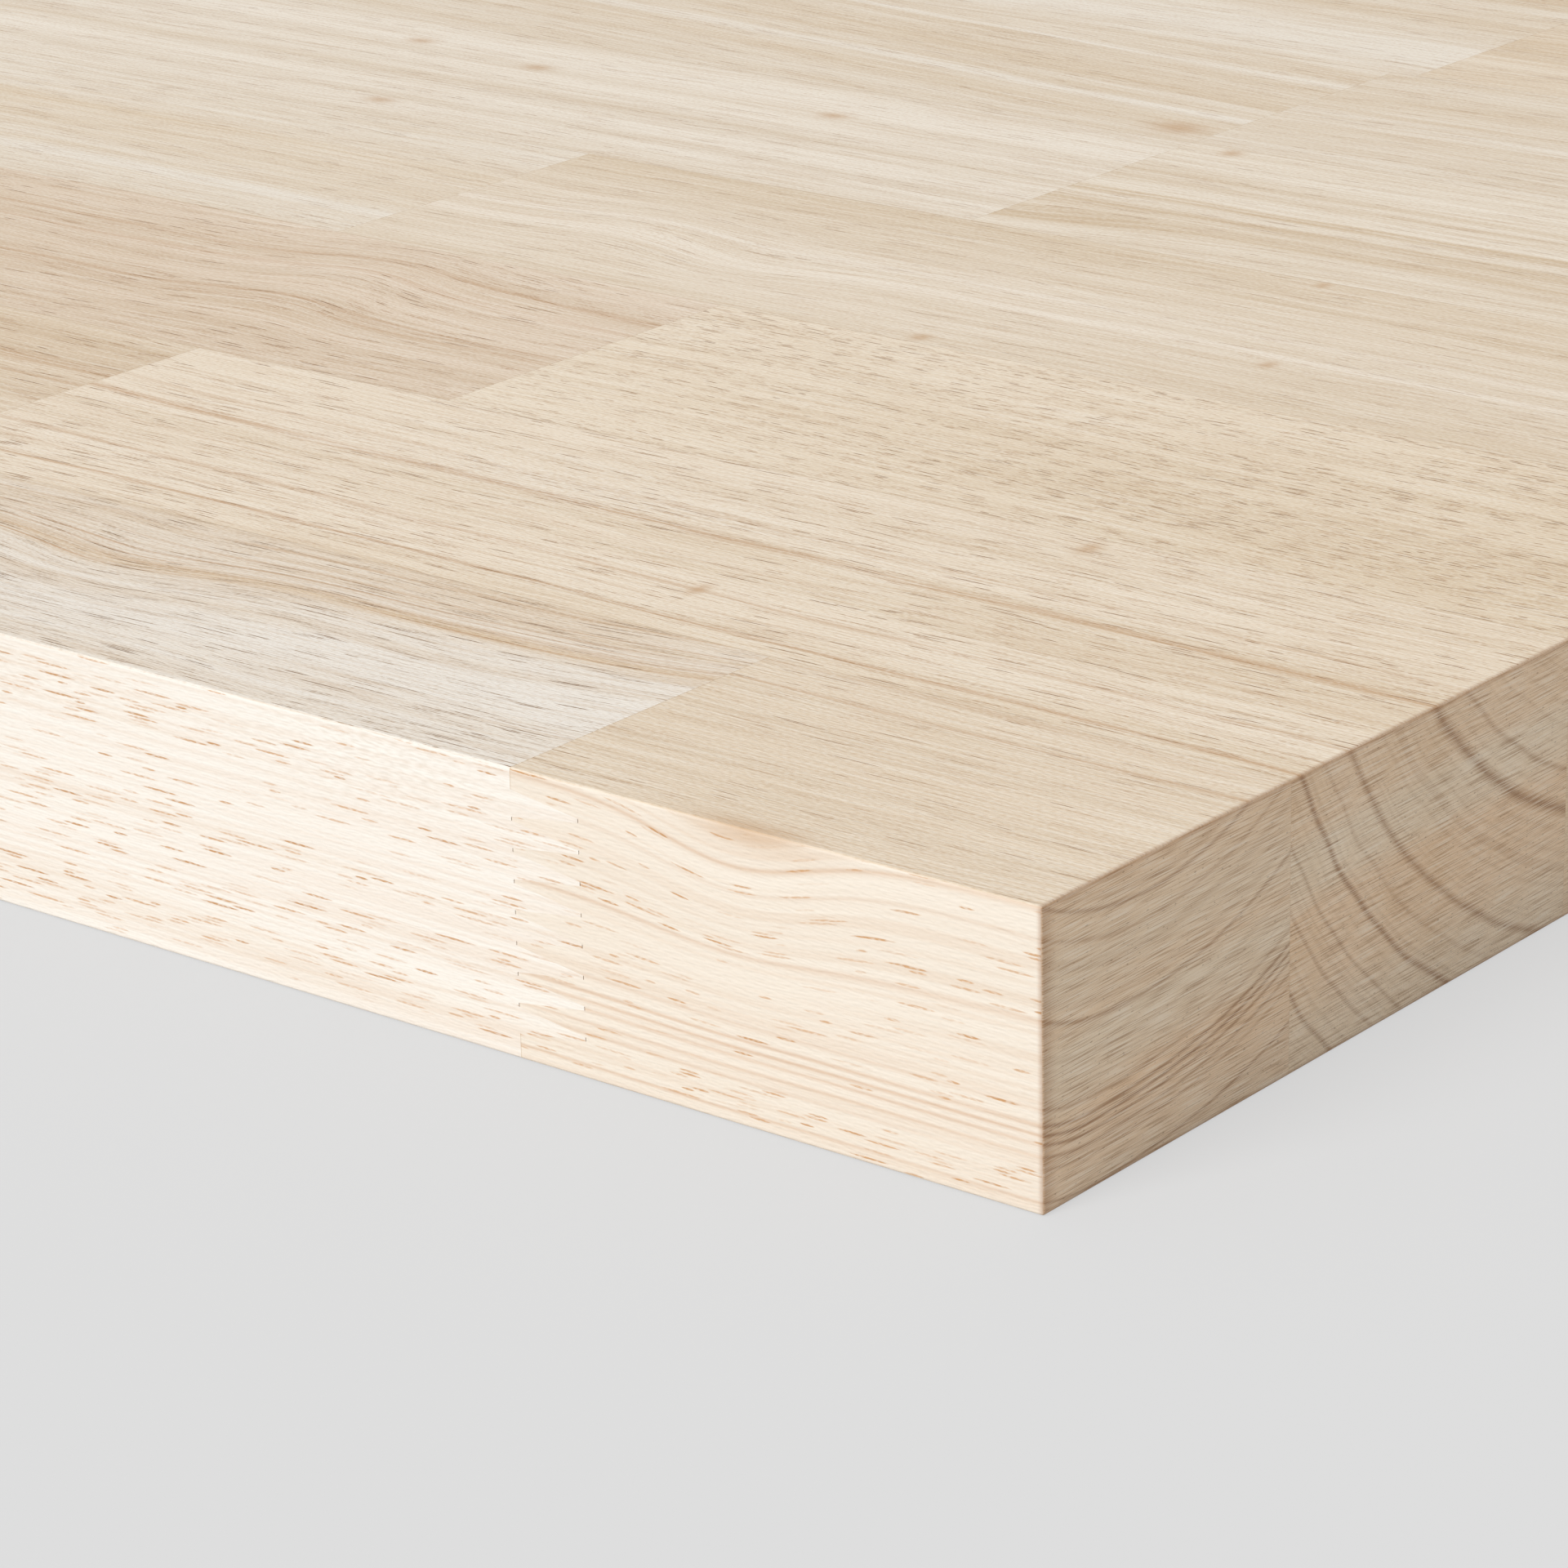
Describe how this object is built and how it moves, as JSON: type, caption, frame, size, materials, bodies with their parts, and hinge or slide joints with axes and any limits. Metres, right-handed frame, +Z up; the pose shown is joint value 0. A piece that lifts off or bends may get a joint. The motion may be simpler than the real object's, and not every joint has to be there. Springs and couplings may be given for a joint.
{
  "type": "butcher block countertop",
  "caption": "Solid wood worktop of finger-jointed hardwood blocks glued edge to edge, with square sawn ends and lightly eased edges.",
  "frame": {"origin": "middle of the underside", "axes": "+X along the grain to the near end, +Y from the front edge to the back edge, +Z up from the underside to the top"},
  "size_m": [1.2192, 0.635, 0.0381],
  "materials": {
    "pale_hevea": "sanded, unfinished",
    "cream_hevea": "sanded, unfinished",
    "tan_hevea": "sanded, unfinished"
  },
  "bodies": {
    "root": {"stave_01_block_1": "tan_hevea", "stave_01_block_2": "pale_hevea", "stave_01_block_3": "cream_hevea", "stave_01_block_4": "cream_hevea", "stave_01_block_5": "pale_hevea", "stave_02_block_1": "cream_hevea", "stave_02_block_2": "tan_hevea", "stave_02_block_3": "cream_hevea", "stave_02_block_4": "pale_hevea", "stave_03_block_1": "cream_hevea", "stave_03_block_2": "tan_hevea", "stave_03_block_3": "cream_hevea", "stave_03_block_4": "cream_hevea", "stave_04_block_1": "pale_hevea", "stave_04_block_2": "tan_hevea", "stave_04_block_3": "tan_hevea", "stave_04_block_4": "cream_hevea", "stave_05_block_1": "pale_hevea", "stave_05_block_2": "pale_hevea", "stave_05_block_3": "tan_hevea", "stave_05_block_4": "cream_hevea", "stave_06_block_1": "cream_hevea", "stave_06_block_2": "pale_hevea", "stave_06_block_3": "tan_hevea", "stave_06_block_4": "tan_hevea", "stave_06_block_5": "cream_hevea", "stave_07_block_1": "pale_hevea", "stave_07_block_2": "pale_hevea", "stave_07_block_3": "tan_hevea", "stave_07_block_4": "cream_hevea", "stave_08_block_1": "cream_hevea", "stave_08_block_2": "pale_hevea", "stave_08_block_3": "tan_hevea", "stave_08_block_4": "tan_hevea", "stave_09_block_1": "cream_hevea", "stave_09_block_2": "pale_hevea", "stave_09_block_3": "pale_hevea", "stave_09_block_4": "tan_hevea", "stave_10_block_1": "cream_hevea", "stave_10_block_2": "cream_hevea", "stave_10_block_3": "pale_hevea", "stave_10_block_4": "tan_hevea", "stave_11_block_1": "tan_hevea", "stave_11_block_2": "cream_hevea", "stave_11_block_3": "pale_hevea", "stave_11_block_4": "pale_hevea"}
  },
  "joints": []
}
